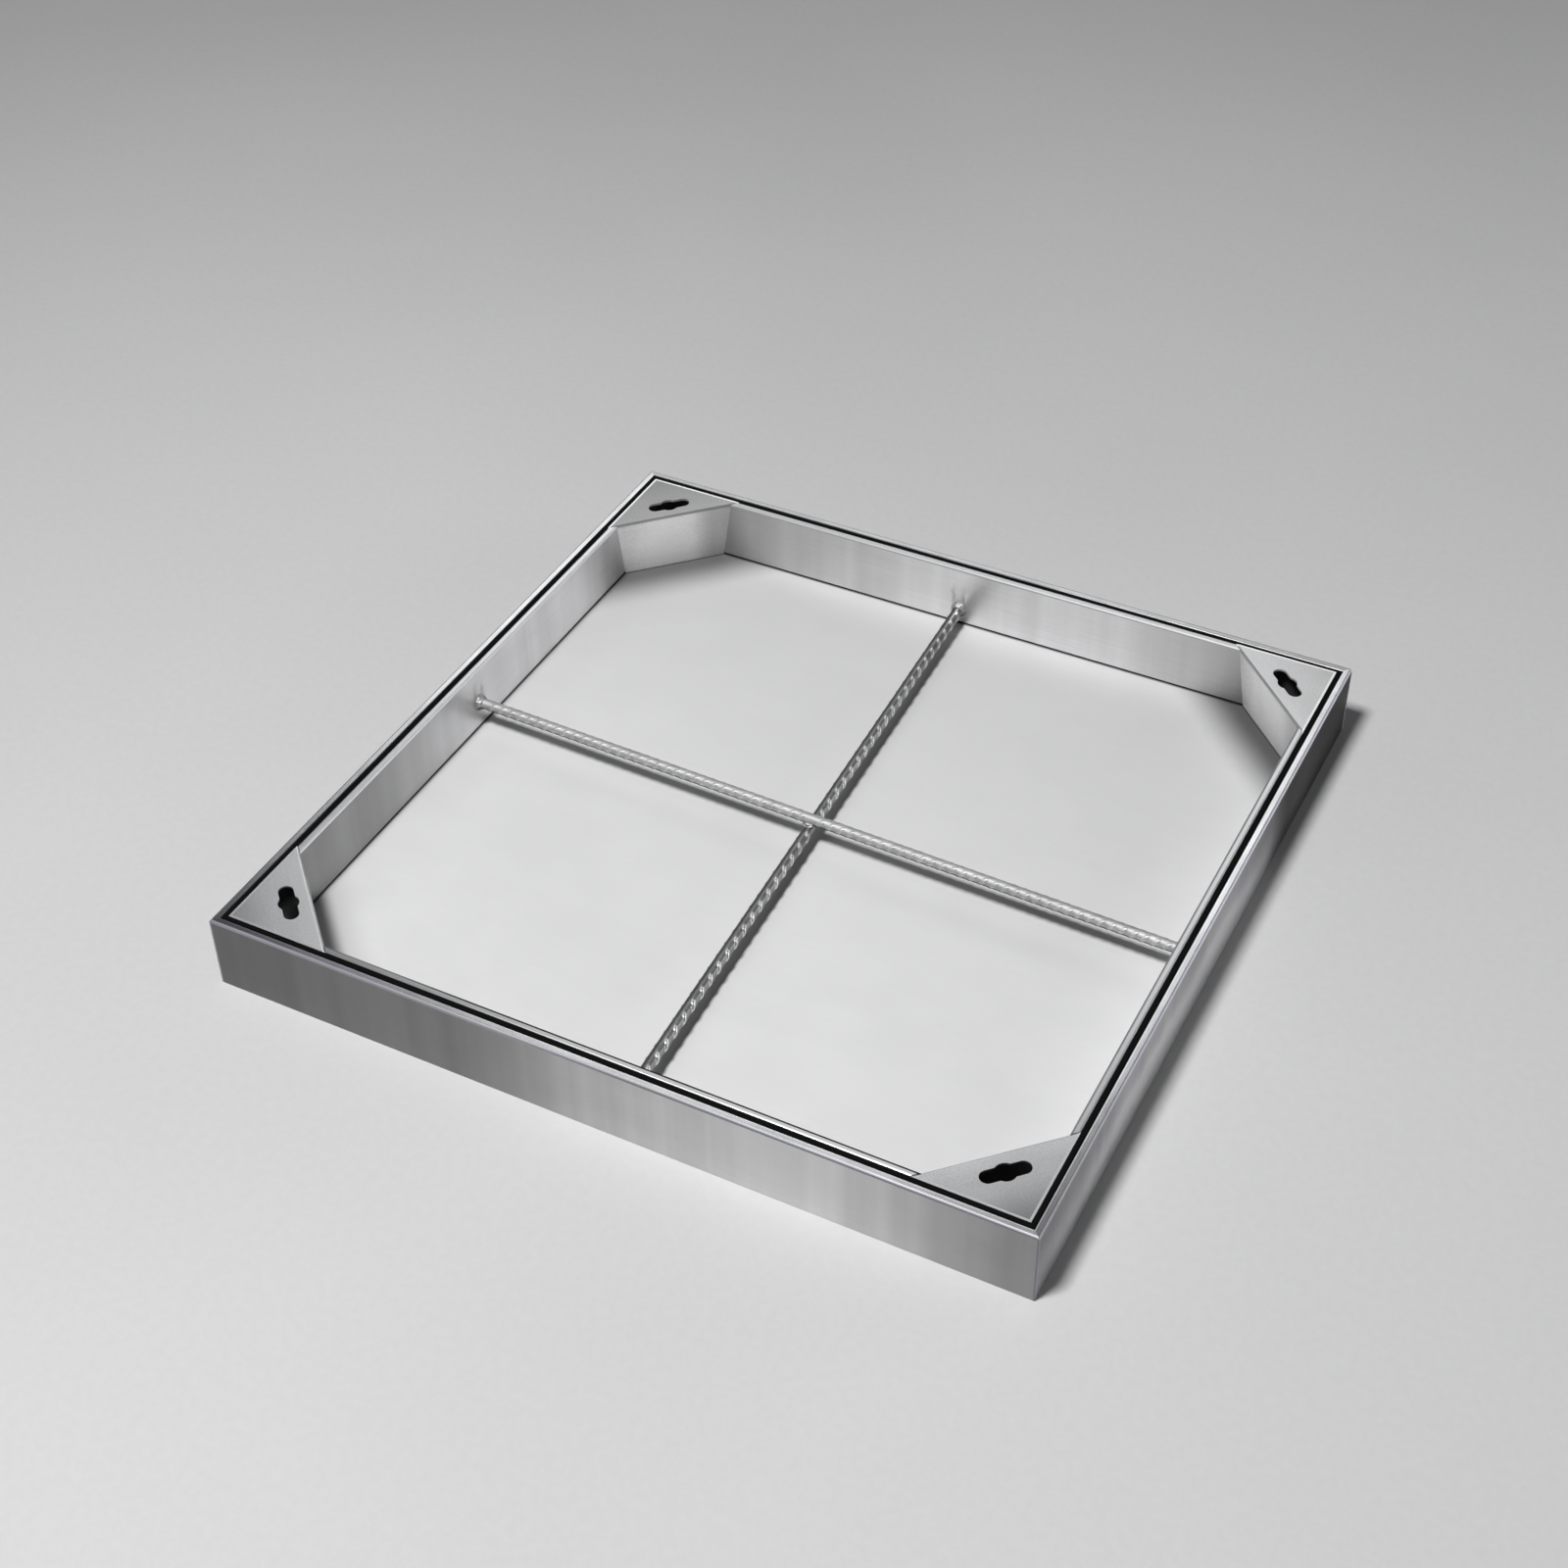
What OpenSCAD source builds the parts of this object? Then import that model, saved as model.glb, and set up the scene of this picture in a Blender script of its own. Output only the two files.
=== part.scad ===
// Recessed inspection cover. A square frame of four folded sheet lengths carries a
// black rubber seal, and a shallow lift-out tray sits in it. The tray has a floor
// plate, four folded side channels, a lifting plate with a keyed slot in each corner
// and two crossed ribbed bars that tie the paving infill to it.
// Millimetres, +Z up. The origin is the middle of the frame's underside, the front
// side is at -Y and the left side at -X.

/* [Overall size] */
// Outside width and depth of the square frame
cover_w = 600; // [500:10:800]
// Height of the frame from its underside to its top band
cover_h = 58; // [52:1:80]

/* [Frame] */
// Sheet thickness of the folded frame lengths
frame_t = 1.5; // [1.2:0.1:1.8]
// Width of the flat band along the top of the frame
frame_band = 6.2; // [5.5:0.1:8]
// Reach of the bottom ledge, measured in from the outside face
ledge_reach = 30; // [26:1:40]

/* [Seal] */
// Width of the rubber fin between frame and tray
seal_w = 3.2; // [2.4:0.1:4]
// Thickness of the rubber foot that the tray sits on
seal_foot_t = 3.4; // [2.4:0.1:4]
// Depth of the fin's crown below the top of the frame
seal_drop = 0.1; // [0.1:0.1:2]

/* [Tray] */
// Thickness of the floor plate
floor_t = 1.5; // [1:0.1:2]
// Sheet thickness of the side channels
side_t = 1.2; // [1:0.1:1.3]
// Width of a side channel, which is the tray's flat rim
side_w = 5.6; // [4.2:0.1:6]
// Open joint under a side channel's inner leg
side_gap = 1.8; // [0.4:0.1:2]

/* [Corner plates] */
// Length of a plate's two square edges
plate_leg = 79; // [74:1:100]
// Sheet thickness of the plates
plate_t = 1.5; // [1.2:0.1:1.8]
// Lean of the folded skirt from upright, in degrees
skirt_lean = 6.6; // [0:0.1:8]
// Overall length of the lifting slot
slot_len = 34; // [30:1:38]
// Width of the lifting slot's two arms
slot_w = 10.6; // [8:0.1:11]
// Diameter of the round middle of the lifting slot
slot_hole_d = 14.6; // [13:0.1:16]
// Distance of the slot's centre from the folded edge
slot_set = 15.6; // [14:0.1:17]

/* [Reinforcing bars] */
// Core diameter of the ribbed bars
bar_d = 8; // [6:0.5:9]
// Height of the ribs above the core
rib_h = 0.7; // [0.4:0.1:0.8]
// Width of a rib along the bar
rib_w = 1.8; // [1:0.1:2.2]
// Slant of the ribs from square, in degrees
rib_slant = 38; // [35:1:50]
// Height of the lower bar's centre line above the frame's underside
lower_bar_z = 20; // [16:0.5:24]
// Turn of the lower bar from square with the frame, in degrees
lower_bar_turn = 2.3; // [-3:0.1:3]
// Turn of the upper bar from square with the frame, in degrees
upper_bar_turn = -1.5; // [-3:0.1:3]
// Spacing of the ribs along the lower bar
lower_rib_pitch = 13; // [8:0.5:16]
// Spacing of the ribs along the upper bar
upper_rib_pitch = 8; // [8:0.5:16]

/* [Hidden] */

frame_ro = frame_t + 0.3;              // outside bend radius of the frame sheet
side_ro = side_t + 0.3;                // outside bend radius of the channels
seal_edge = 0.6;                       // corner radius of the fin's flat crown
plate_ro = plate_t + 0.3;              // outside bend radius of the plates
half = cover_w / 2;
seal_in = frame_band + seal_w;         // inset of the seal's inner face
tray_in = seal_in + side_w;            // inset of the tray's inner wall face
floor_z0 = frame_t + seal_foot_t;      // underside of the floor plate
floor_z1 = floor_z0 + floor_t;         // top of the floor plate
tray_half = half - tray_in;            // half the clear width inside the tray
fold_d = (2 * (half - seal_in) - plate_leg) / sqrt(2); // plate fold line from centre
upper_bar_z = lower_bar_z + bar_d + 0.2;
lower_bar_x = -1;                      // the lower bar crosses the middle just off centre
weld_r = bar_d / 2 + 2.4;              // a bar-end weld's radius at the wall
weld_l = 3.4;                          // and its reach along the bar
arc_fn = 48;

// --- helpers -----------------------------------------------------------------

// Quarter of a bend in sheet: its square corner would be at the origin, and the
// sheet runs down and to the right from it.
module bend(ro, t) {
    translate([ro, -ro]) intersection() {
        difference() {
            circle(r = ro, $fn = arc_fn);
            circle(r = ro - t, $fn = arc_fn);
        }
        translate([-ro, 0]) square([ro, ro]);
    }
}

// A section drawn as inset and height, run along one side, mitred at both ends and
// turned to side number k: 0 front, 1 right, 2 back, 3 left.
module mitred_side(k, depth) {
    rotate([0, 0, 90 * k]) intersection() {
        translate([-half, -half, 0]) rotate([90, 0, 90])
            linear_extrude(height = cover_w) children();
        translate([0, 0, -1]) linear_extrude(height = cover_h + 2)
            polygon([[-half, -half], [half, -half],
                     [half - depth, -half + depth], [-half + depth, -half + depth]]);
    }
}

// Everything beyond a corner's fold line, above height z.
module beyond_folds(z) {
    for (k = [0:3]) rotate([0, 0, 45 + 90 * k])
        translate([fold_d, -cover_w / 2, z]) cube([cover_w, cover_w, cover_h]);
}

// --- sections ----------------------------------------------------------------

module frame_section() {
    square([frame_t, cover_h - frame_ro]);
    translate([0, cover_h]) bend(frame_ro, frame_t);
    translate([frame_ro, cover_h - frame_t])
        square([frame_band - 2 * frame_ro, frame_t]);
    translate([frame_band, cover_h]) mirror([1, 0]) bend(frame_ro, frame_t);
    translate([frame_band - frame_t, frame_ro])
        square([frame_t, cover_h - 2 * frame_ro]);
    translate([frame_band - frame_t, 0]) mirror([0, 1]) bend(frame_ro, frame_t);
    translate([frame_band - frame_t + frame_ro, 0])
        square([ledge_reach - (frame_band - frame_t + frame_ro), frame_t]);
}

module seal_section() {
    crown = cover_h - seal_drop - seal_edge;
    for (x = [frame_band + seal_edge, seal_in - seal_edge])
        translate([x, crown]) circle(r = seal_edge, $fn = arc_fn);
    translate([frame_band + seal_edge, crown - 0.1])
        square([seal_w - 2 * seal_edge, seal_edge + 0.1]);
    polygon([[frame_band, frame_t + 0.8], [frame_band + 0.8, frame_t],
             [ledge_reach - 3, frame_t], [ledge_reach - 3, floor_z0],
             [seal_in, floor_z0], [seal_in, crown], [frame_band, crown]]);
}

module side_section() {
    translate([seal_in, floor_z1]) square([side_t, cover_h - side_ro - floor_z1]);
    translate([seal_in, cover_h]) bend(side_ro, side_t);
    translate([seal_in + side_ro, cover_h - side_t])
        square([side_w - 2 * side_ro, side_t]);
    translate([tray_in, cover_h]) mirror([1, 0]) bend(side_ro, side_t);
    translate([tray_in - side_t, floor_z1 + side_gap])
        square([side_t, cover_h - side_ro - floor_z1 - side_gap]);
}

// Sections of a corner plate across its fold, as distance beyond the fold and
// height: the flat top with its bend, then the skirt, which starts inside the bend.
module plate_top_section() {
    translate([plate_ro, cover_h - plate_t]) square([plate_leg, plate_t]);
    translate([plate_ro, cover_h - plate_ro]) intersection() {
        difference() {
            circle(r = plate_ro, $fn = arc_fn);
            circle(r = plate_ro - plate_t, $fn = arc_fn);
        }
        polygon([[0, 0], [0, 3 * plate_ro], [-3 * plate_ro, 3 * plate_ro],
                 3 * plate_ro * [cos(180 + skirt_lean), sin(180 + skirt_lean)]]);
    }
}

module skirt_section() {
    a = skirt_lean;
    c = [plate_ro, cover_h - plate_ro];
    away = [cos(180 + a), sin(180 + a)];   // from the bend's centre to the skirt
    down = [sin(a), -cos(a)];              // along the skirt
    out = c + (plate_ro - 0.02) * away;
    inn = c + (plate_ro - plate_t + 0.02) * away;
    low = floor_z1 + 0.3;
    polygon([out - 0.1 * down, inn - 0.1 * down,
             inn + (inn[1] - low) / cos(a) * down,
             out + (out[1] - low) / cos(a) * down]);
}

// Keyed slot: two straight arms with round ends and a larger round middle.
module lifting_slot() {
    a = (slot_len - slot_w) / 2;
    square([slot_w, 2 * a], center = true);
    for (s = [-1, 1]) translate([0, s * a]) circle(d = slot_w, $fn = arc_fn);
    circle(d = slot_hole_d, $fn = arc_fn);
}

// --- pieces ------------------------------------------------------------------

module frame_side(k) {
    color([0.60, 0.60, 0.62]) mitred_side(k, ledge_reach + 1) frame_section();
}

module seal_side(k) {
    color([0.05, 0.05, 0.05]) mitred_side(k, ledge_reach + 1) seal_section();
}

module tray_side(k) {
    color([0.72, 0.72, 0.73]) difference() {
        mitred_side(k, tray_in + 1) side_section();
        beyond_folds(cover_h - plate_t);
    }
}

module tray_floor() {
    s = cover_w - 2 * seal_in;
    color([0.84, 0.84, 0.85]) translate([-s / 2, -s / 2, floor_z0])
        cube([s, s, floor_t]);
}

// Corner number k: 0 front left, 1 front right, 2 back right, 3 back left.
module corner_plate(k) {
    wide = half - seal_in;
    low = floor_z1;
    color([0.74, 0.74, 0.75]) intersection() {
        rotate([0, 0, 225 + 90 * k]) translate([fold_d, 0, 0]) difference() {
            translate([0, plate_leg, 0]) rotate([90, 0, 0]) {
                linear_extrude(height = 2 * plate_leg) plate_top_section();
                linear_extrude(height = 2 * plate_leg) skirt_section();
            }
            translate([slot_set, 0, cover_h - plate_t - 1])
                linear_extrude(height = plate_t + 2) lifting_slot();
        }
        union() {
            translate([-wide, -wide, cover_h - plate_t])
                cube([2 * wide, 2 * wide, plate_t + 1]);
            translate([-tray_half, -tray_half, low])
                cube([2 * tray_half, 2 * tray_half, cover_h - low + 1]);
        }
    }
}

// Ribbed bar along X through the origin. The slanted ribs form two rows on
// opposite sides and fade out into the core between them.
module ribbed_bar(length, pitch, roll) {
    n = floor((length / 2 - 10) / pitch);
    rotate([0, 90, 0]) cylinder(d = bar_d, h = length, center = true, $fn = arc_fn);
    for (i = [-n:n]) if (abs(i * pitch) > 9)
        translate([i * pitch, 0, 0]) rotate([roll, 0, 0]) rotate([0, 0, -rib_slant])
            rotate([0, 90, 0])
                cylinder(r = bar_d / 2 + rib_h, h = rib_w, center = true, $fn = arc_fn);
}

// Puts a bar drawn along X where the lower or the upper bar lies.
module at_lower() {
    translate([lower_bar_x, 0, lower_bar_z]) rotate([0, 0, 90 + lower_bar_turn])
        children();
}
module at_upper() {
    translate([0, 0, upper_bar_z]) rotate([0, 0, upper_bar_turn]) children();
}

module bar_core() {
    rotate([0, 90, 0]) cylinder(d = bar_d, h = cover_w, center = true, $fn = arc_fn);
}

module inside_tray() {
    translate([-tray_half, -tray_half, floor_z1])
        cube([2 * tray_half, 2 * tray_half, cover_h]);
}

module lower_bar() {
    color([0.62, 0.62, 0.62]) intersection() {
        at_lower() ribbed_bar(2 * tray_half + 6, lower_rib_pitch, 66);
        inside_tray();
    }
}

module upper_bar() {
    color([0.68, 0.68, 0.68]) intersection() {
        at_upper() ribbed_bar(2 * tray_half + 6, upper_rib_pitch, 75);
        inside_tray();
    }
}

// Ring of weld at each end of a bar that is drawn along X.
module end_welds() {
    for (s = [-1, 1]) rotate([0, s * 90, 0]) translate([0, 0, tray_half - weld_l])
        cylinder(r1 = bar_d / 2 + 0.4, r2 = weld_r, h = weld_l + 0.6, $fn = arc_fn);
}

module bar_end_welds() {
    color([0.55, 0.55, 0.56]) intersection() {
        union() {
            difference() { at_lower() end_welds(); at_lower() bar_core(); }
            difference() { at_upper() end_welds(); at_upper() bar_core(); }
        }
        inside_tray();
    }
}

module crossing_weld() {
    color([0.50, 0.50, 0.51]) difference() {
        translate([lower_bar_x, 0, lower_bar_z + 1])
            cylinder(r = bar_d * 0.62, h = upper_bar_z - lower_bar_z - 2, $fn = arc_fn);
        at_lower() bar_core();
        at_upper() bar_core();
    }
}

frame_side(0);  // frame_front
frame_side(1);  // frame_right
frame_side(2);  // frame_back
frame_side(3);  // frame_left
seal_side(0);  // seal_front
seal_side(1);  // seal_right
seal_side(2);  // seal_back
seal_side(3);  // seal_left
tray_floor();
tray_side(0);  // tray_side_front
tray_side(1);  // tray_side_right
tray_side(2);  // tray_side_back
tray_side(3);  // tray_side_left
corner_plate(0);  // corner_plate_front_left
corner_plate(1);  // corner_plate_front_right
corner_plate(2);  // corner_plate_back_right
corner_plate(3);  // corner_plate_back_left
lower_bar();
upper_bar();
bar_end_welds();
crossing_weld();
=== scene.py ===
import math

import bpy
import bmesh
import numpy as np
from mathutils import Matrix, Quaternion, Vector, noise


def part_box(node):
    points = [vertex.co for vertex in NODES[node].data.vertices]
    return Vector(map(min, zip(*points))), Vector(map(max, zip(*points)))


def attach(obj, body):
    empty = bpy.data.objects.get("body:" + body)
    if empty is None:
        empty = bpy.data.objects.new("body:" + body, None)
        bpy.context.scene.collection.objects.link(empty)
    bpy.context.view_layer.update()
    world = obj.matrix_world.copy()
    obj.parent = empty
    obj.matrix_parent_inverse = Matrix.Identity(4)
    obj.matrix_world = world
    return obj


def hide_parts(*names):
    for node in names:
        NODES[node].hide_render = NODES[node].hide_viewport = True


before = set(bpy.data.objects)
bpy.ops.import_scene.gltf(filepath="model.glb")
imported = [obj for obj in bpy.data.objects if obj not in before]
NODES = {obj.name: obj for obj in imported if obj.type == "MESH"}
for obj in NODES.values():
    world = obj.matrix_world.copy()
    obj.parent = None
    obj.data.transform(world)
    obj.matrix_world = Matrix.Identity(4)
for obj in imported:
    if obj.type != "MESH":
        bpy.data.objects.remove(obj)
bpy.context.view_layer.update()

# Recessed inspection cover: folded steel frame, black seal, lift-out tray with
# keyed lifting plates and two crossed ribbed bars. Metres, +Z up, front at -Y.

HALF = 0.300          # half the outside width
TOP = 0.058           # top of the band
FRAME_BAND = 0.0062
SEAL_IN = 0.0094      # inset of the tray's outer wall
TRAY_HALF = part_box("upper_bar")[1][0]
TRAY_IN = HALF - TRAY_HALF          # inset of the tray's inner wall face
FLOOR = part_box("tray_floor")[1][2]  # top of the floor plate
FOLD = 0.355109       # fold line of a corner plate from the middle
FOOT = 0.36084        # and the foot of its skirt

# --- camera ------------------------------------------------------------------

cam_data = bpy.data.cameras.new("camera")
cam_data.sensor_width = 36.0
cam_data.lens = 2531.95 / 1600 * 36.0
cam_data.clip_start, cam_data.clip_end = 0.05, 60.0
cam = bpy.data.objects.new("camera", cam_data)
bpy.context.scene.collection.objects.link(cam)
cam.rotation_mode = "QUATERNION"
cam.location = (0.60134, -1.18041, 1.20627)
cam.rotation_quaternion = Quaternion((0.884406, 0.403013, 0.103396, 0.211462))
bpy.context.scene.camera = cam
bpy.context.scene.view_settings.view_transform = "Standard"

# --- node graphs -------------------------------------------------------------


class Mat:
    """A Principled material built from small steps on object coordinates."""

    def __init__(self, name):
        self.m = bpy.data.materials.new(name)
        self.m.use_nodes = True
        self.t = self.m.node_tree
        self.t.nodes.clear()
        out = self.new("ShaderNodeOutputMaterial")
        self.b = self.new("ShaderNodeBsdfPrincipled")
        self.t.links.new(self.b.outputs[0], out.inputs[0])
        self.P = self.new("ShaderNodeTexCoord").outputs["Object"]
        s = self.new("ShaderNodeSeparateXYZ")
        self.t.links.new(self.P, s.inputs[0])
        self.x, self.y, self.z = s.outputs

    def new(self, kind):
        return self.t.nodes.new(kind)

    def put(self, socket, value):
        if isinstance(value, bpy.types.NodeSocket):
            self.t.links.new(value, socket)
        else:
            socket.default_value = value

    def math(self, op, a, b=None, c=None):
        n = self.new("ShaderNodeMath")
        n.operation = op
        for i, v in enumerate((a, b, c)):
            if v is not None:
                self.put(n.inputs[i], v)
        return n.outputs[0]

    def add(self, a, b): return self.math("ADD", a, b)
    def sub(self, a, b): return self.math("SUBTRACT", a, b)
    def mul(self, a, b): return self.math("MULTIPLY", a, b)
    def low(self, a, b): return self.math("MINIMUM", a, b)
    def high(self, a, b): return self.math("MAXIMUM", a, b)
    def size(self, a): return self.math("ABSOLUTE", a)

    def ramp(self, v, lo, hi, a=0.0, b=1.0):
        """a below lo, b above hi, smooth between. lo may be above hi."""
        if lo > hi:
            lo, hi, a, b = hi, lo, b, a
        n = self.new("ShaderNodeMapRange")
        n.interpolation_type = "SMOOTHSTEP"
        for k, u in zip(("Value", "From Min", "From Max", "To Min", "To Max"),
                        (v, lo, hi, a, b)):
            self.put(n.inputs[k], u)
        return n.outputs[0]

    def curve(self, v, points):
        """Piecewise smooth curve through (position, value) points."""
        total = None
        (p0, v0), rest = points[0], points[1:]
        for p1, v1 in rest:
            step = self.ramp(v, p0, p1, 0.0, v1 - v0)
            total = step if total is None else self.add(total, step)
            p0, v0 = p1, v1
        return self.add(total, points[0][1])

    def window(self, v, lo, hi, soft):
        return self.mul(self.ramp(v, lo - soft, lo), self.ramp(v, hi + soft, hi))

    def vec(self, x, y, z):
        n = self.new("ShaderNodeCombineXYZ")
        for i, v in enumerate((x, y, z)):
            self.put(n.inputs[i], v)
        return n.outputs[0]

    def dot(self, d):
        n = self.new("ShaderNodeVectorMath")
        n.operation = "DOT_PRODUCT"
        self.put(n.inputs[0], self.P)
        n.inputs[1].default_value = d
        return n.outputs["Value"]

    def noise(self, x, y, z, detail=2.0, rough=0.5, seed=0.0):
        n = self.new("ShaderNodeTexNoise")
        n.noise_dimensions = "4D"
        self.put(n.inputs["Vector"], self.vec(x, y, z))
        n.inputs["W"].default_value = seed
        n.inputs["Scale"].default_value = 1.0
        n.inputs["Detail"].default_value = detail
        n.inputs["Roughness"].default_value = rough
        return n.outputs[0]

    def tint(self, tone, colour):
        n = self.new("ShaderNodeVectorMath")
        n.operation = "SCALE"
        n.inputs[0].default_value = colour
        self.put(n.inputs["Scale"], tone)
        return n.outputs[0]

    def mix(self, f, a, b):
        n = self.new("ShaderNodeMix")
        n.data_type = "RGBA"
        self.put(n.inputs[0], f)
        for s, v in ((n.inputs[6], a), (n.inputs[7], b)):
            if isinstance(v, bpy.types.NodeSocket):
                self.put(s, v)
            else:
                s.default_value = (*v, 1.0)
        return n.outputs[2]

    def bump(self, height, strength, distance):
        n = self.new("ShaderNodeBump")
        n.inputs["Strength"].default_value = strength
        n.inputs["Distance"].default_value = distance
        self.put(n.inputs["Height"], height)
        self.put(self.b.inputs["Normal"], n.outputs[0])

    def done(self, colour, rough, metallic=1.0, aniso=0.0, brushing=None, spec=0.5):
        b = self.b
        self.put(b.inputs["Base Color"], colour)
        self.put(b.inputs["Roughness"], rough)
        b.inputs["Metallic"].default_value = metallic
        b.inputs["Specular IOR Level"].default_value = spec
        if aniso:
            # highlights spread square to the brushing, which runs along brushing
            n = self.new("ShaderNodeVectorMath")
            n.operation = "CROSS_PRODUCT"
            self.put(n.inputs[0], self.new("ShaderNodeNewGeometry").outputs["Normal"])
            n.inputs[1].default_value = brushing
            b.inputs["Anisotropic"].default_value = aniso
            self.put(b.inputs["Tangent"], n.outputs[0])
        return self.m


STEEL = (1.0, 1.0, 1.006)


def brushed(g, along, across, up, seed, coarse=1.0):
    """(grain, bands, smudge): fine brushing lines along one direction, slow bands
    square to it, and faint cloudy handling marks. All run about 0.5."""
    grain = g.noise(g.mul(along, 14.0), g.mul(across, 1500.0 / coarse),
                    g.mul(up, 1500.0 / coarse), 3.0, 0.62, seed)
    bands = g.add(g.mul(g.noise(g.mul(along, 17.0), 0.0, 0.0, 2.0, 0.45, seed + 3.1), 0.55),
                  g.mul(g.noise(g.mul(along, 62.0), 0.0, 0.0, 2.0, 0.5, seed + 5.3), 0.45))
    smudge = g.noise(g.mul(along, 24.0), g.mul(across, 34.0), g.mul(up, 34.0),
                     3.0, 0.55, seed + 7.7)
    return grain, bands, smudge


def frame_mat(name, k):
    """Folded frame length number k: 0 front, 1 right, 2 back, 3 left."""
    g = Mat(name)
    along = (g.x, g.y, g.x, g.y)[k]
    across = (g.y, g.x, g.y, g.x)[k]
    inset = g.sub(HALF, g.size(across))
    grain, bands, smudge = brushed(g, along, across, g.z, 10.0 + k)
    on_top = g.mul(g.ramp(g.z, TOP - 0.0022, TOP - 0.0010),
                   g.ramp(inset, FRAME_BAND + 0.0004, FRAME_BAND - 0.0002))
    # painted reflection: the side face's tone rises and falls along each length
    painted_face_sheen = (
        [(-0.30, 0.17), (-0.12, 0.23), (0.04, 0.58), (0.14, 0.68), (0.30, 0.33)],
        [(-0.30, 0.62), (-0.10, 1.0), (0.04, 0.96), (0.10, 0.62), (0.16, 0.14), (0.30, 0.09)],
        [(-0.30, 0.36), (0.0, 0.44), (0.30, 0.34)],
        [(-0.30, 0.32), (0.0, 0.42), (0.30, 0.38)],
    )[k]
    side = g.curve(along, painted_face_sheen)
    if k == 1:
        # painted light: the lower part of the face lighter, the upper part darker
        side = g.mul(side, g.ramp(g.z, 0.004, 0.052, 1.45, 0.66))
    # painted reflection: the top band's tone rises and falls along its length
    top = g.curve(along, (
        [(-0.30, 0.26), (-0.18, 0.40), (0.0, 0.92), (0.14, 0.94), (0.30, 0.66)],
        [(-0.30, 0.62), (-0.14, 0.84), (0.10, 0.92), (0.30, 0.86)],
        [(-0.30, 0.54), (0.0, 0.60), (0.30, 0.44)],
        [(-0.30, 0.46), (-0.20, 0.66), (0.05, 0.86), (0.30, 0.80)],
    )[k])
    tone = g.add(g.mul(side, g.sub(1.0, on_top)), g.mul(top, on_top))
    tone = g.mul(tone, g.ramp(grain, 0.25, 0.75, 0.96, 1.04))
    tone = g.mul(tone, g.ramp(bands, 0.34, 0.66, 0.90, 1.10))
    tone = g.mul(tone, g.ramp(smudge, 0.25, 0.75, 0.97, 1.03))
    # painted highlight on the outside bend and on the corner edge
    edge = g.mul(g.ramp(g.z, TOP - 0.0024, TOP - 0.0012), g.ramp(inset, 0.0019, 0.0012))
    corner = g.ramp(g.size(along), HALF - 0.0016, HALF - 0.0006)
    corner = g.mul(corner, g.ramp(inset, 0.0014, 0.0006))
    painted_highlight = g.high(edge, corner)
    highlight_tone = g.curve(along, (
        [(-0.30, 0.50), (-0.10, 0.44), (0.05, 0.26), (0.30, 0.25)],
        [(-0.30, 0.50), (0.0, 0.66), (0.30, 0.62)],
        [(-0.30, 0.36), (0.0, 0.28), (0.30, 0.18)],
        [(-0.30, 0.45), (0.0, 0.85), (0.30, 0.85)],
    )[k])
    tone = g.add(g.mul(tone, g.sub(1.0, painted_highlight)), g.mul(painted_highlight, highlight_tone))
    # painted shade: the inner bend beside the black rubber is darkened
    painted_groove_shade = g.mul(g.ramp(inset, FRAME_BAND - 0.0010, FRAME_BAND - 0.0006),
                   g.ramp(g.z, 0.050, 0.053))
    tone = g.mul(tone, g.sub(1.0, g.mul(painted_groove_shade, (0.92, 0.6)[k % 2])))
    steel = g.tint(tone, (1.0, 1.0, 1.01))
    lilac = g.tint(tone, (0.975, 0.960, 1.07))
    # the painted highlight, and the left end of the front top band, take a lilac tint in places
    tinted = g.mul(painted_highlight, g.ramp(smudge, 0.3, 0.6))
    if k == 0:
        tinted = g.high(tinted, g.mul(on_top, g.ramp(g.x, -0.10, -0.22)))
    colour = g.mix(tinted, steel, lilac)
    rough = g.add(g.ramp(grain, 0.2, 0.8, 0.30, 0.40), g.mul(on_top, -0.06))
    rough = g.add(rough, g.mul(painted_highlight, 0.26))
    g.bump(grain, 0.10, 0.0002)
    t = ((1.0, 0.0, 0.0), (0.0, 1.0, 0.0))[k % 2]
    if k == 1:
        g.b.inputs["Specular Tint"].default_value = (0.50, 0.50, 0.51, 1.0)
    return g.done(colour, rough, 1.0, 0.55, t)


def weld_smears(g, pos, up, at, height, seed):
    """Faint grey streaks that rise from a bar's end on the wall, 0 to 1."""
    d = g.sub(pos, at)
    h = g.sub(up, height)
    sway = g.mul(g.sub(g.noise(g.mul(h, 110.0), 0.0, 0.0, 2.0, 0.5, seed + 1.0), 0.5), 0.008)
    d = g.add(d, sway)
    streak = g.noise(g.mul(d, 420.0), g.mul(h, 75.0), 0.0, 3.0, 0.65, seed)
    left = g.mul(g.ramp(g.size(g.add(d, 0.0046)), 0.0038, 0.0004), g.ramp(h, 0.0250, 0.0110))
    right = g.mul(g.ramp(g.size(g.sub(d, 0.0038)), 0.0034, 0.0004), g.ramp(h, 0.0200, 0.0080))
    plume = g.mul(g.add(left, right), g.ramp(streak, 0.34, 0.62, 0.25, 1.0))
    haze = g.mul(g.mul(g.ramp(g.size(d), 0.0120, 0.0020), g.ramp(h, 0.0280, 0.0080)),
                 g.ramp(streak, 0.36, 0.66, 0.10, 0.55))
    plume = g.mul(g.high(plume, haze), g.ramp(h, -0.002, 0.004))
    r = g.math("SQRT", g.add(g.mul(d, d), g.mul(h, h)))
    ring = g.mul(g.window(r, 0.0064, 0.0074, 0.0016), 0.45)
    return g.low(g.high(plume, ring), 1.0)


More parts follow.
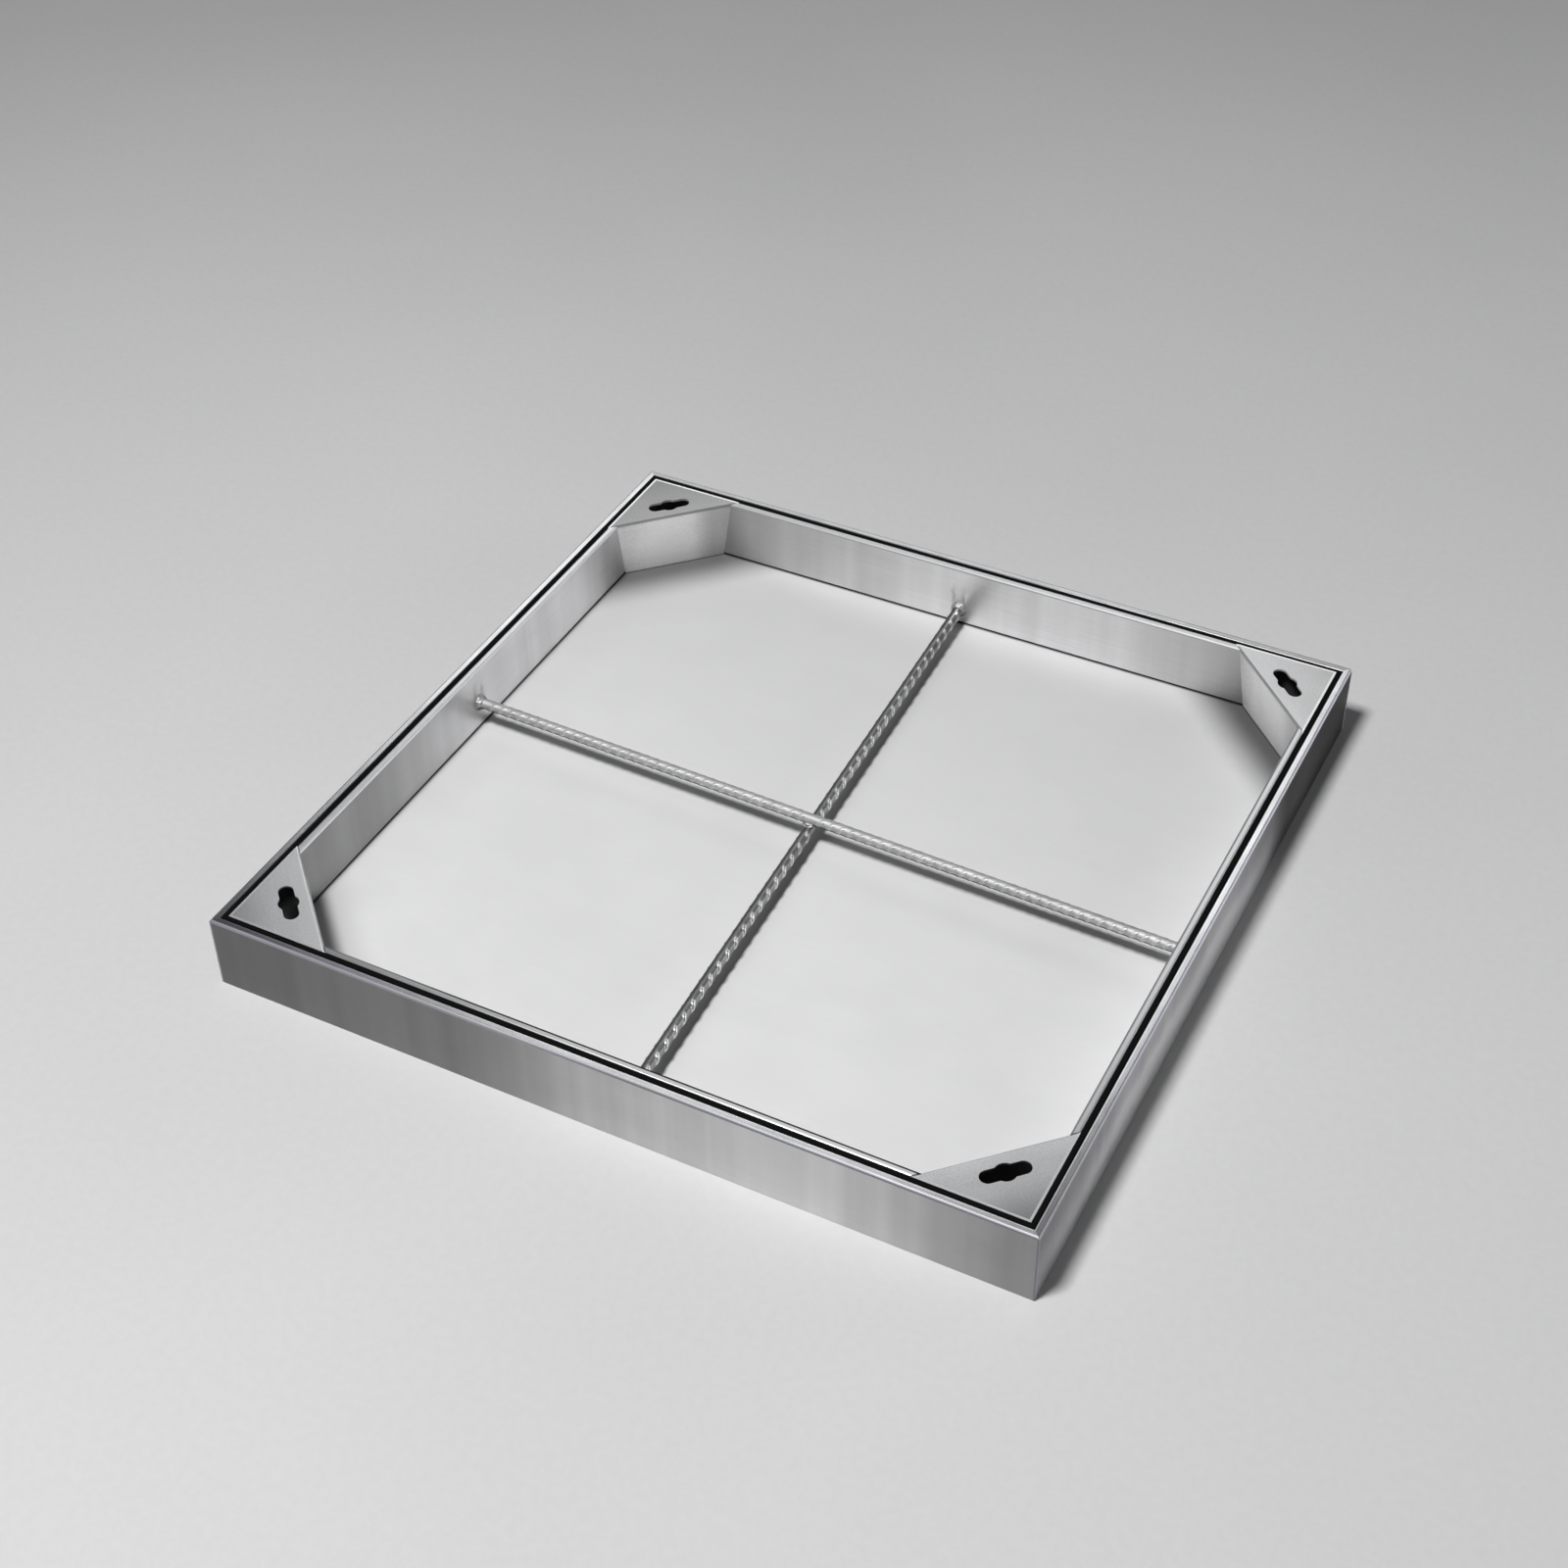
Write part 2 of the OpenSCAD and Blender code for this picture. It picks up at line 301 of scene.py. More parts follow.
def side_mat(name, k):
    """Tray side channel number k: wall and flat rim."""
    g = Mat(name)
    along = (g.x, g.y, g.x, g.y)[k]
    across = (g.y, g.x, g.y, g.x)[k]
    inset = g.sub(HALF, g.size(across))
    grain, bands, smudge = brushed(g, along, across, g.z, 20.0 + k)
    on_top = g.ramp(g.z, TOP - 0.0018, TOP - 0.0008)
    # painted reflection: the wall's tone and the rim's tone rise and fall along each length
    painted_wall_sheen = g.curve(along, (
        [(-0.29, 0.50), (0.0, 0.60), (0.29, 0.50)],
        [(-0.29, 0.46), (0.0, 0.58), (0.29, 0.52)],
        [(-0.29, 0.52), (-0.20, 0.50), (0.0, 0.77), (0.10, 0.71), (0.29, 0.26)],
        [(-0.29, 0.22), (-0.15, 0.34), (0.02, 0.74), (0.18, 0.82), (0.29, 0.66)],
    )[k])
    painted_wall_sheen = g.mul(painted_wall_sheen, g.ramp(bands, 0.34, 0.66, 0.92, 1.08))
    top = g.curve(along, (
        [(-0.29, 0.44), (-0.18, 0.48), (0.02, 0.70), (0.29, 0.70)],
        [(-0.29, 0.92), (0.29, 1.0)],
        [(-0.29, 0.62), (0.29, 0.72)],
        [(-0.29, 0.92), (0.29, 1.0)],
    )[k])
    if k == 3:
        # painted light: the wall low down in the near corner pocket is made bright
        lit_slot_pocket = g.mul(g.ramp(g.y, -0.212, -0.222), g.ramp(g.z, 0.036, 0.018))
        painted_wall_sheen = g.add(g.mul(painted_wall_sheen, g.sub(1.0, lit_slot_pocket)), g.mul(lit_slot_pocket, 0.96))
    tone = g.add(g.mul(painted_wall_sheen, g.sub(1.0, on_top)), g.mul(top, on_top))
    tone = g.mul(tone, g.ramp(grain, 0.25, 0.75, 0.95, 1.05))
    tone = g.mul(tone, g.ramp(smudge, 0.25, 0.75, 0.97, 1.03))
    # painted shade: a dark line on the rim's inner bend, darkest at the front
    wide = (0.0022, 0.0018, 0.0016, 0.0016)[k]
    painted_bend_shade = g.mul(g.ramp(g.z, TOP - 0.0024, TOP - 0.0014),
                 g.ramp(inset, TRAY_IN - wide, TRAY_IN - wide + 0.0004))
    bend_shade_tone = (0.02, 0.50, 0.50, 0.90)[k]
    if k == 0:
        painted_bend_shade = g.mul(painted_bend_shade, g.ramp(g.x, -0.17, -0.10, 0.35, 1.0))
    tone = g.add(g.mul(tone, g.sub(1.0, painted_bend_shade)), g.mul(painted_bend_shade, bend_shade_tone))
    # painted shade inside the channel and on the bend against the rubber
    painted_groove_shade = g.mul(g.ramp(inset, SEAL_IN + 0.0008, SEAL_IN + 0.0004),
                   g.ramp(g.z, 0.050, 0.053))
    painted_channel_shade = g.mul(g.window(inset, SEAL_IN + 0.0011, TRAY_IN - 0.0005, 0.0001),
                   g.ramp(g.z, TOP - 0.0010, TOP - 0.0013))
    painted_groove_shade = g.mul(painted_groove_shade, (1.0, 0.6)[k % 2])
    tone = g.mul(tone, g.sub(1.0, g.mul(g.high(painted_groove_shade, painted_channel_shade), 0.93)))
    # drawn-up scale and heat grey round the bar's end
    at, height = ((0.0105, 0.020), (-0.0075, 0.0282),
                  (-0.0128, 0.020), (0.0076, 0.0282))[k]
    smear = weld_smears(g, along, g.z, at, height, 41.0 + 3.3 * k)
    tone = g.mul(tone, g.sub(1.0, g.mul(smear, 0.38)))
    colour = g.mix(smear, g.tint(tone, STEEL), g.tint(tone, (1.0, 0.985, 0.97)))
    rough = g.add(g.ramp(grain, 0.2, 0.8, 0.34, 0.44), g.mul(smear, 0.12))
    rough = g.add(rough, g.mul(painted_bend_shade, 0.22))
    g.bump(grain, 0.08, 0.0002)
    t = ((1.0, 0.0, 0.0), (0.0, 1.0, 0.0))[k % 2]
    return g.done(colour, rough, 1.0, 0.5, t)


def plate_mat(name, k):
    """Corner lifting plate number k: 0 front left, 1 front right, 2 back right, 3 back left. The skirt has
    painted upright bands of reflection, the top a painted slow sheen."""
    g = Mat(name)
    r = math.sqrt(0.5)
    n = ((-r, -r, 0), (r, -r, 0), (r, r, 0), (-r, r, 0))[k]
    s = ((r, -r, 0), (r, r, 0), (-r, r, 0), (r, r, 0))[k]
    out, along = g.dot(n), g.dot(s)
    grain, bands, smudge = brushed(g, along, out, g.z, 30.0 + k)
    beyond = g.sub(out, FOLD)
    on_top = g.ramp(g.z, TOP - 0.0016, TOP - 0.0006)
    painted_skirt_sheen = g.curve(along, (
        [(-0.05, 0.56), (0.0, 0.60), (0.05, 0.52)],
        [(-0.05, 0.56), (0.0, 0.66), (0.05, 0.56)],
        [(-0.05, 0.56), (-0.01, 1.0), (0.02, 1.0), (0.05, 0.76)],
        [(-0.05, 0.78), (-0.015, 1.0), (0.010, 1.0), (0.035, 0.56), (0.05, 0.48)],
    )[k])
    painted_skirt_sheen = g.mul(painted_skirt_sheen, g.ramp(bands, 0.3, 0.7, 0.94, 1.06))
    # painted sheen on the top, fading away from the fold
    top = g.curve(beyond, (
        [(0.0, 1.00), (0.020, 0.94), (0.055, 0.66)],
        [(0.0, 0.92), (0.020, 0.80), (0.055, 0.42)],
        [(0.0, 0.70), (0.020, 0.65), (0.055, 0.55)],
        [(0.0, 0.43), (0.020, 0.385), (0.055, 0.31)],
    )[k])
    tone = g.add(g.mul(painted_skirt_sheen, g.sub(1.0, on_top)), g.mul(top, on_top))
    tone = g.mul(tone, g.ramp(grain, 0.25, 0.75, 0.96, 1.04))
    tone = g.mul(tone, g.ramp(smudge, 0.25, 0.75, 0.95, 1.05))
    # painted shade along the fold line, and a painted highlight on the edges beside the seal
    painted_fold_shade = g.mul(g.window(beyond, -0.0006, 0.0012, 0.0006), g.ramp(g.z, TOP - 0.0026, TOP - 0.0014))
    tone = g.mul(tone, g.sub(1.0, g.mul(painted_fold_shade, (0.15, 0.30, 0.50, 0.40)[k])))
    inset = g.sub(HALF, g.high(g.size(g.x), g.size(g.y)))
    painted_rim_highlight = g.mul(g.ramp(inset, SEAL_IN + 0.0020, SEAL_IN + 0.0012),
                g.ramp(g.z, TOP - 0.0022, TOP - 0.0014))
    tone = g.add(g.mul(tone, g.sub(1.0, painted_rim_highlight)), g.mul(painted_rim_highlight, 0.98))
    grit = g.noise(g.mul(g.x, 620.0), g.mul(g.y, 620.0), g.mul(g.z, 620.0), 3.0, 0.6, 35.0 + k)
    tone = g.mul(tone, g.ramp(grit, 0.28, 0.72, 0.93, 1.07))
    rough = g.add(g.ramp(grain, 0.2, 0.8, 0.34, 0.42), g.mul(grit, 0.03))
    g.bump(grain, 0.07, 0.0002)
    # the two back plates have the floor's matt satin, the front two a polished sheen
    return g.done(g.tint(tone, STEEL), rough, (1.0, 1.0, 0.4, 0.4)[k], 0.4, s)


def floor_mat(name):
    """Satin floor plate."""
    g = Mat(name)
    grain, bands, smudge = brushed(g, g.x, g.y, g.z, 50.0, 1.4)
    cloud = g.noise(g.mul(g.x, 5.0), g.mul(g.y, 5.0), 0.0, 2.0, 0.5, 51.0)
    tone = g.ramp(cloud, 0.3, 0.7, 0.705, 0.725)
    tone = g.mul(tone, g.ramp(grain, 0.2, 0.8, 0.985, 1.015))
    tone = g.mul(tone, g.ramp(smudge, 0.25, 0.75, 0.985, 1.015))
    # dull in the joint under the walls and skirts, and painted shade on the floor beyond them
    inset = g.sub(HALF, g.high(g.size(g.x), g.size(g.y)))
    out = g.mul(g.add(g.size(g.x), g.size(g.y)), math.sqrt(0.5))
    top = g.ramp(g.z, FLOOR - 0.0008, FLOOR - 0.0003)
    joint = g.high(g.mul(g.ramp(inset, TRAY_IN + 0.0018, TRAY_IN + 0.0001), 0.55),
                   g.mul(g.ramp(out, FOOT - 0.0016, FOOT - 0.0002), 0.60))
    tone = g.mul(tone, g.sub(1.0, g.mul(joint, top)))
    # painted shade: soft dark patches on the floor at the feet of the skirts, strongest at the back
    painted_skirt_shade = g.ramp(out, FOOT - 0.0460, FOOT - 0.0050)
    painted_skirt_shade = g.mul(painted_skirt_shade, g.ramp(g.y, -0.05, 0.05, 0.45, 1.0))
    painted_skirt_shade = g.mul(painted_skirt_shade, g.ramp(g.x, -0.10, 0.10, 0.90, 1.0))
    tone = g.mul(tone, g.sub(1.0, g.mul(g.mul(painted_skirt_shade, top), 0.88)))
    # painted light: the floor lighter near the right wall
    tone = g.mul(tone, g.ramp(g.x, 0.21, 0.285, 1.0, 1.08))
    # painted shade: the floor darker towards the back
    tone = g.mul(tone, g.ramp(g.y, -0.04, 0.26, 1.0, 0.93))
    # painted shade on the floor hidden beyond the walls and skirts, left off in the pocket under the near left
    # slot
    painted_hidden_shade = g.high(g.ramp(inset, TRAY_IN, TRAY_IN - 0.0008), g.ramp(out, FOOT, FOOT + 0.001))
    lit_slot_pocket = g.mul(g.ramp(g.x, -0.1, -0.2), g.ramp(g.y, -0.1, -0.2))
    painted_hidden_shade = g.mul(painted_hidden_shade, g.sub(1.0, g.mul(lit_slot_pocket, g.ramp(inset, TRAY_IN - 0.0008, TRAY_IN))))
    tone = g.mul(tone, g.sub(1.0, g.mul(g.mul(painted_hidden_shade, top), 0.86)))
    rough = g.add(g.ramp(smudge, 0.2, 0.8, 0.50, 0.58), g.mul(grain, 0.04))
    g.bump(grain, 0.04, 0.0002)
    return g.done(g.tint(tone, STEEL), rough, 0.15, 0.0)


def rubber_mat(name):
    g = Mat(name)
    fine = g.noise(g.mul(g.x, 2200.0), g.mul(g.y, 2200.0), g.mul(g.z, 2200.0), 2.0, 0.6, 60.0)
    slow = g.noise(g.mul(g.x, 60.0), g.mul(g.y, 60.0), g.mul(g.z, 60.0), 2.0, 0.5, 61.0)
    tone = g.mul(g.ramp(fine, 0.3, 0.7, 0.003, 0.005), g.ramp(slow, 0.3, 0.7, 0.85, 1.15))
    g.bump(fine, 0.25, 0.0001)
    return g.done(g.tint(tone, (1.0, 1.0, 1.08)), g.ramp(slow, 0.3, 0.7, 0.74, 0.86), 0.0, spec=0.05)


def bar_mat(name, highlight_tone, dull, rough_lo, rough_hi, seed):
    """Rolled bar: dull in the hollows, with a painted highlight and less roughness on the ribs. The mesh's own
    rib attribute runs from 0 in the hollows to 1 on a rib."""
    g = Mat(name)
    a = g.new("ShaderNodeAttribute")
    a.attribute_name = "rib"
    rib = a.outputs["Fac"]
    fine = g.noise(g.mul(g.x, 900.0), g.mul(g.y, 900.0), g.mul(g.z, 900.0), 3.0, 0.6, seed)
    slow = g.noise(g.mul(g.x, 90.0), g.mul(g.y, 90.0), g.mul(g.z, 90.0), 3.0, 0.55, seed + 1)
    tone = g.ramp(rib, 0.10, 0.85, dull, highlight_tone)
    tone = g.mul(tone, g.ramp(fine, 0.25, 0.75, 0.86, 1.14))
    tone = g.mul(tone, g.ramp(slow, 0.25, 0.75, 0.86, 1.12))
    # painted shade: darker on the underside, and along one side strip of the lower bar
    u = g.new("ShaderNodeAttribute")
    u.attribute_name = "scale"
    tone = g.mul(tone, g.ramp(u.outputs["Fac"], 0.0, 1.0, 1.0, 0.16))
    rough = g.ramp(rib, 0.1, 0.9, rough_hi, rough_lo)
    rough = g.add(rough, g.ramp(fine, 0.2, 0.8, -0.05, 0.05))
    g.bump(fine, 0.20, 0.0001)
    return g.done(g.tint(tone, (1.0, 1.0, 1.0)), rough, 1.0)


def weld_mat(name):
    g = Mat(name)
    fine = g.noise(g.mul(g.x, 1100.0), g.mul(g.y, 1100.0), g.mul(g.z, 1100.0), 3.0, 0.6, 80.0)
    slow = g.noise(g.mul(g.x, 300.0), g.mul(g.y, 300.0), g.mul(g.z, 300.0), 2.0, 0.5, 81.0)
    tone = g.mul(g.ramp(slow, 0.3, 0.7, 0.40, 0.64), g.ramp(fine, 0.25, 0.75, 0.85, 1.15))
    # painted shade: darker on the underside of the bead
    n = g.new("ShaderNodeSeparateXYZ")
    g.t.links.new(g.new("ShaderNodeNewGeometry").outputs["Normal"], n.inputs[0])
    tone = g.mul(tone, g.ramp(n.outputs["Z"], -0.5, 0.5, 0.25, 1.0))
    colour = g.mix(g.ramp(slow, 0.35, 0.6), g.tint(tone, (1.0, 0.985, 0.96)), g.tint(tone, (0.98, 0.99, 1.02)))
    g.bump(fine, 0.3, 0.0002)
    return g.done(colour, g.ramp(fine, 0.2, 0.8, 0.52, 0.64), 1.0)


SIDES = ("front", "right", "back", "left")
CORNERS = ("front_left", "front_right", "back_right", "back_left")


def dress(node, material):
    ob = NODES[node]
    if not ob.material_slots:
        ob.data.materials.append(material)
    for s in ob.material_slots:
        s.material = material


rubber = rubber_mat("seal_rubber")
for k, side in enumerate(SIDES):
    dress("frame_" + side, frame_mat("frame_steel_" + side, k))
    dress("tray_side_" + side, side_mat("tray_steel_" + side, k))
    dress("seal_" + side, rubber)
for k, corner in enumerate(CORNERS):
    dress("corner_plate_" + corner, plate_mat("plate_steel_" + corner, k))
dress("tray_floor", floor_mat("floor_steel"))

# --- ribbed bars -------------------------------------------------------------


def smooth(t):
    t = np.clip(t, 0.0, 1.0)
    return t * t * (3 - 2 * t)


def mesh_object(name, verts, faces, material, **fields):
    me = bpy.data.meshes.new(name)
    me.from_pydata([tuple(map(float, v)) for v in verts], [], faces)
    for key, values in fields.items():
        me.attributes.new(key, "FLOAT", "POINT").data.foreach_set(
            "value", np.asarray(values, np.float32))
    me.materials.append(material)
    me.polygons.foreach_set("use_smooth", [True] * len(me.polygons))
    me.update()
    ob = bpy.data.objects.new(name, me)
    bpy.context.scene.collection.objects.link(ob)
    return ob


def grid_faces(rows, cols):
    """Quads of a tube of rows rings with cols points each, closed round."""
    f = []
    for i in range(rows - 1):
        a, b = i * cols, (i + 1) * cols
        for j in range(cols):
            n = (j + 1) % cols
            f.append((a + j, a + n, b + n, b + j))
    return f


def ribbed_bar(name, material, centre, turn, axis, pitch, roll, rib_h=0.00068,
               rib_w=0.0024, slant=38.0, rows=1360, cols=64, seed=1.0, highlight_width=0.6,
               spread=0.46, dark_from=None):
    """A hot-rolled bar from wall to wall. Two rows of slanted crescent ribs stand
    on opposite sides and run out into the round core. axis is 'x' or 'y'."""
    R = 0.004
    base = 0.0 if axis == "x" else math.pi / 2
    c, s = math.cos(base + turn), math.sin(base + turn)
    d = np.array([c, s, 0.0])            # along the bar
    e = np.array([-s, c, 0.0])           # level, square to it
    u = np.array([0.0, 0.0, 1.0])
    th = np.arange(cols) / cols * 2 * math.pi
    main = 0 if axis == "x" else 1
    t = np.linspace(-1.0, 1.0, rows)[:, None]
    # the crest of a row lies roll degrees from straight up, towards -e
    crest = math.radians(roll)
    rel = np.angle(np.exp(1j * (th - crest)))[None, :]
    other = np.angle(np.exp(1j * (th - crest - math.pi)))[None, :]
    # each line of the tube ends on the wall's own plane
    radial0 = R * (np.cos(th)[None, :, None] * u - np.sin(th)[None, :, None] * e)
    reach = (t * TRAY_HALF - centre[main] - radial0[..., main]) / d[main]
    height = np.zeros((rows, cols))
    painted_rib_highlight = np.zeros((rows, cols))
    k = math.tan(math.radians(slant))
    for phi in (rel, other):
        x = reach + phi * R * k
        near = np.round(x / pitch) * pitch
        dist = np.abs(x - near) * math.cos(math.radians(slant))
        body = smooth(1.25 - dist / (rib_w * 0.60))
        crescent = smooth((np.cos(phi) - spread) / 0.34)
        keep = np.abs(near) > 0.0075
        keep &= np.abs(near) < TRAY_HALF - 0.006
        height = np.maximum(height, body * crescent * keep)
        # painted highlight: the crest of each rib is marked for a brighter colour
        rib_highlight_row = smooth(1.5 - dist / (rib_w * highlight_width)) * smooth((np.cos(phi) - spread + 0.12) / 0.36)
        painted_rib_highlight = np.maximum(painted_rib_highlight, rib_highlight_row * keep)
    wobble = np.array([[noise.noise(Vector((float(a) * 55.0, float(b) * 1.3, seed)))
                        for b in (0.0, 1.6, 3.2, 4.8)] for a in reach[:, 0]])
    wob = np.interp(th, [0.0, 1.6, 3.2, 4.8, 2 * math.pi],
                    [0, 1, 2, 3, 4])
    lo = wob.astype(int) % 4
    hi = (lo + 1) % 4
    fr = wob - np.floor(wob)
    grainy = wobble[:, lo] * (1 - fr) + wobble[:, hi] * fr
    r = R + rib_h * height * (1 + 0.10 * grainy) - 0.00004 * (1 - grainy)
    radial = r[..., None] * (np.cos(th)[None, :, None] * u - np.sin(th)[None, :, None] * e)
    verts = np.array(centre) + reach[..., None] * d + radial
    verts = verts.reshape(-1, 3)
    faces = grid_faces(rows, cols)
    faces = [f[::-1] for f in faces]
    verts = np.vstack([verts, verts[:cols].mean(0), verts[-cols:].mean(0)])
    a, b = rows * cols, rows * cols + 1
    last = (rows - 1) * cols
    faces += [(a, (j + 1) % cols, j)[::-1] for j in range(cols)]
    faces += [(b, last + j, last + (j + 1) % cols)[::-1] for j in range(cols)]
    rib = np.concatenate([painted_rib_highlight.ravel(), [0.0, 0.0]])
    # painted shade on the underside of the bar
    painted_underside_shade = smooth((0.12 - np.cos(th)) / 0.55)
    if dark_from is not None:
        # painted shade on the plain strip beside the rows too
        off = np.angle(np.exp(1j * (th - math.radians(dark_from))))
        painted_underside_shade = np.maximum(painted_underside_shade, 0.55 * smooth((np.cos(off) - 0.55) / 0.35))
    scale = np.concatenate([np.repeat(painted_underside_shade[None, :], rows, 0).ravel(), [0.0, 0.0]])
    ob = mesh_object(name, verts, faces, material, rib=rib, scale=scale)
    fix_normals(ob)
    return ob


def fix_normals(ob):
    bm = bmesh.new()
    bm.from_mesh(ob.data)
    bmesh.ops.recalc_face_normals(bm, faces=bm.faces)
    bm.to_mesh(ob.data)
    bm.free()
    ob.data.update()


LOWER = (np.array([-0.001, 0.0, 0.020]), math.radians(2.3))
UPPER = (np.array([0.0, 0.0, 0.0282]), math.radians(-1.5))

lower = ribbed_bar("ribbed_bar_lower", bar_mat("bar_steel_lower", 0.92, 0.36, 0.38, 0.50, 70.0),
                   LOWER[0], LOWER[1], "y", 0.013, 66.0, seed=1.7, highlight_width=0.85, spread=0.58,
                   dark_from=-42.0)
upper = ribbed_bar("ribbed_bar_upper", bar_mat("bar_steel_upper", 0.62, 0.54, 0.62, 0.66, 73.0),
                   UPPER[0], UPPER[1], "x", 0.008, 75.0, rib_h=0.00048, seed=5.1, highlight_width=0.6)

# --- welds -------------------------------------------------------------------

weld_steel = weld_mat("weld_metal")


def collar(name, point, inward, seed, rows=26, cols=96):
    """Lumpy ring of weld where a bar meets the wall. point lies on the wall, and
    inward is the unit direction along the bar into the tray."""
    d = np.array(inward)
    e = np.cross([0.0, 0.0, 1.0], d)
    e /= np.linalg.norm(e)
    u = np.cross(d, e)
    prof = []
    for i in range(rows):
        t = i / (rows - 1)
        a = t * math.pi / 2
        # a trumpet: wide at the wall, running out along the bar
        prof.append((0.0040 * math.sin(a) ** 1.5, 0.0041 + 0.0023 * math.cos(a) ** 1.5))
    prof += [(0.0030, 0.0034), (0.0, 0.0034)]
    main = 0 if abs(d[0]) > abs(d[1]) else 1
    verts, faces = [], []
    for i, (w, r) in enumerate(prof):
        for j in range(cols):
            th = 2 * math.pi * j / cols
            n = (u * math.cos(th) + e * math.sin(th))
            q = Vector((math.cos(th) * 2.1, math.sin(th) * 2.1, w * 500 + seed))
            lump = noise.noise(q) * 0.5 + noise.noise(q * 2.7) * 0.25
            ripple = 0.05 * math.sin(th * 17 + 3 * noise.noise(q))
            grow = (r - 0.0041) * (1 + 0.46 * lump + ripple) if i < rows else 0.0
            rr = (0.0041 + grow) if i < rows else r
            ww = w * (1 + 0.35 * lump) if 0 < i < rows else w
            p = np.array(point) + n * rr
            # measured from the wall's plane, whatever the bar's turn
            sign = 1.0 if d[main] > 0 else -1.0
            p[main] = point[main] + sign * ww
            verts.append(p)
    m = len(prof)
    for i in range(m):
        a, b = i * cols, ((i + 1) % m) * cols
        for j in range(cols):
            n = (j + 1) % cols
            faces.append((a + j, a + n, b + n, b + j))
    ob = mesh_object(name, verts, faces, weld_steel)
    fix_normals(ob)
    return ob


def bar_end(centre, turn, axis, sign):
    base = 0.0 if axis == "x" else math.pi / 2
    d = np.array([math.cos(base + turn), math.sin(base + turn), 0.0])
    main = 0 if axis == "x" else 1
    reach = (sign * TRAY_HALF - centre[main]) / d[main]
    return centre + reach * d, -math.copysign(1.0, reach) * d


collars = []
for nm, bar, axis, sign, seed in (("front", LOWER, "y", -1, 2.0), ("back", LOWER, "y", 1, 9.0),
                                  ("left", UPPER, "x", -1, 15.0), ("right", UPPER, "x", 1, 23.0)):
    p, inward = bar_end(bar[0], bar[1], axis, sign)
    collars.append(collar("bar_end_weld_" + nm, p, inward, seed))


def crossing():
    """Tack weld that fills the four nooks between the crossed bars."""
    bm = bmesh.new()
    bmesh.ops.create_icosphere(bm, subdivisions=5, radius=1.0)
    for v in bm.verts:
        n = v.co.normalized()
        lump = noise.noise(n * 2.3 + Vector((4.0, 1.0, 7.0))) * 0.22 + noise.noise(n * 6.0) * 0.07
        flat = max(abs(n.x), abs(n.y)) / max(1e-6, math.hypot(n.x, n.y))
        s = 1.0 + lump + 0.20 * (1 - flat)
        v.co = Vector((n.x * 0.0054 * s, n.y * 0.0054 * s, n.z * 0.0034 * (1 + 0.4 * lump)))
        v.co += Vector((-0.001, 0.0, 0.0241))
    me = bpy.data.meshes.new("crossing_tack")
    bm.to_mesh(me)
    bm.free()
    me.materials.append(weld_steel)
    me.polygons.foreach_set("use_smooth", [True] * len(me.polygons))
    ob = bpy.data.objects.new("crossing_tack", me)
    bpy.context.scene.collection.objects.link(ob)
    return ob


tack = crossing()

for ob, node, slot in ((lower, "lower_bar", "bar_steel"), (upper, "upper_bar", "bar_steel"),
                       (tack, "crossing_weld", "weld_metal")):
    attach(ob, "root")
    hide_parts(node)
for ob in collars:
    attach(ob, "root")
    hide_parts("bar_end_welds")

# --- floor and light ---------------------------------------------------------

